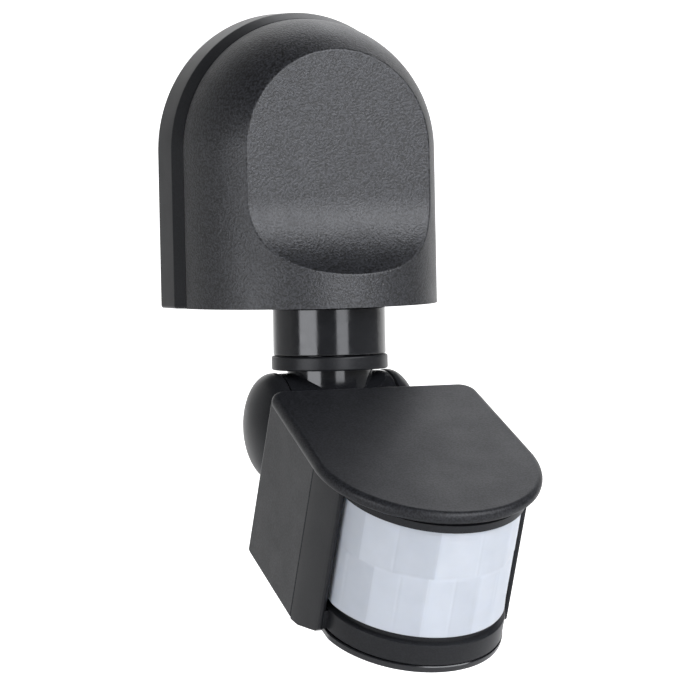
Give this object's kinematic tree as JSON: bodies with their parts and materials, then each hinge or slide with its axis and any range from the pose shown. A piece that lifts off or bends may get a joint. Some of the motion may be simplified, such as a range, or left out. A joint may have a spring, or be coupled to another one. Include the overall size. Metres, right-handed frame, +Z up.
{
  "type": "motion sensor",
  "caption": "Black outdoor wall motion sensor: arched box, glossy swivel neck and a tilting hooded head with a milky curved lens.",
  "frame": {"origin": "on the wall face, at the centre of the box's round top", "axes": "+X to the right seen from the front, +Y into the wall, +Z up"},
  "size_m": [0.08, 0.1289, 0.1851],
  "materials": {
    "shell": "spark-eroded matt black ABS",
    "head_shell": "finely grained satin black ABS",
    "satin_black": "smooth satin black ABS",
    "gloss_black": "polished black moulding",
    "lens": "milky polyethylene with moulded Fresnel facets",
    "rubber": "soft black rubber",
    "lead_rubber": "matt black cable sheath",
    "steel": "zinc-plated steel",
    "brass": "plain brass",
    "terminal_white": "off-white nylon",
    "board_green": "solder-resist green laminate",
    "part_blue": "moulded blue component case",
    "dark_plastic": "satin black nylon"
  },
  "bodies": {
    "wall_box": {"wall_gasket": "rubber", "base_plate": "shell", "cable_grommet": "rubber", "terminal_block": "terminal_white", "terminal_screw_1": "brass", "terminal_screw_2": "brass", "terminal_screw_3": "brass", "cover_gasket": "rubber", "front_cover": "shell", "cover_screw_1": "steel", "cover_screw_2": "steel", "neck_tube": "gloss_black", "neck_seal": "rubber", "neck_nut": "dark_plastic", "supply_lead": "lead_rubber"},
    "neck_swivel": {"swivel_knuckle": "gloss_black", "collar_ring": "satin_black", "swivel_clip": "steel", "neck_lead": "lead_rubber"},
    "head": {"head_housing": "head_shell", "left_end_cap": "satin_black", "right_end_cap": "satin_black", "pivot_bolt": "steel", "pivot_nut": "steel", "front_bezel": "satin_black", "fresnel_lens": "lens", "bottom_cover": "gloss_black", "bottom_screw_1": "steel", "bottom_screw_2": "steel", "bottom_screw_3": "steel", "bottom_screw_4": "steel", "time_trimmer": "part_blue", "light_trimmer": "part_blue", "range_trimmer": "part_blue", "circuit_board": "board_green", "sensor_board": "board_green", "pir_sensor": "steel", "light_sensor": "lens", "relay": "part_blue", "capacitor": "dark_plastic", "board_connector": "terminal_white", "head_lead": "lead_rubber"},
    "time_knob": {"time_knob": "dark_plastic"},
    "light_knob": {"light_knob": "dark_plastic"},
    "range_knob": {"range_knob": "dark_plastic"}
  },
  "joints": [
    {"name": "head_pan", "type": "hinge", "parent": "wall_box", "child": "neck_swivel", "pos_m": [0, -0.0302, -0.0604], "axis": [0, 0, 1], "range_deg": [-78, 82]},
    {"name": "head_tilt", "type": "hinge", "parent": "neck_swivel", "child": "head", "pos_m": [0, -0.0302, -0.0797], "axis": [0.9994, -0.0339, 0], "range_deg": [-25, 35]},
    {"name": "time_knob_turn", "type": "hinge", "parent": "head", "child": "time_knob", "pos_m": [-0.0161, -0.09195, -0.13537], "axis": [0.0144, 0.424, -0.9056], "range_deg": [-135, 135]},
    {"name": "light_knob_turn", "type": "hinge", "parent": "head", "child": "light_knob", "pos_m": [-0.00211, -0.09243, -0.13537], "axis": [0.0144, 0.424, -0.9056], "range_deg": [-135, 135]},
    {"name": "range_knob_turn", "type": "hinge", "parent": "head", "child": "range_knob", "pos_m": [0.01188, -0.0929, -0.13537], "axis": [0.0144, 0.424, -0.9056], "range_deg": [-135, 135]}
  ]
}
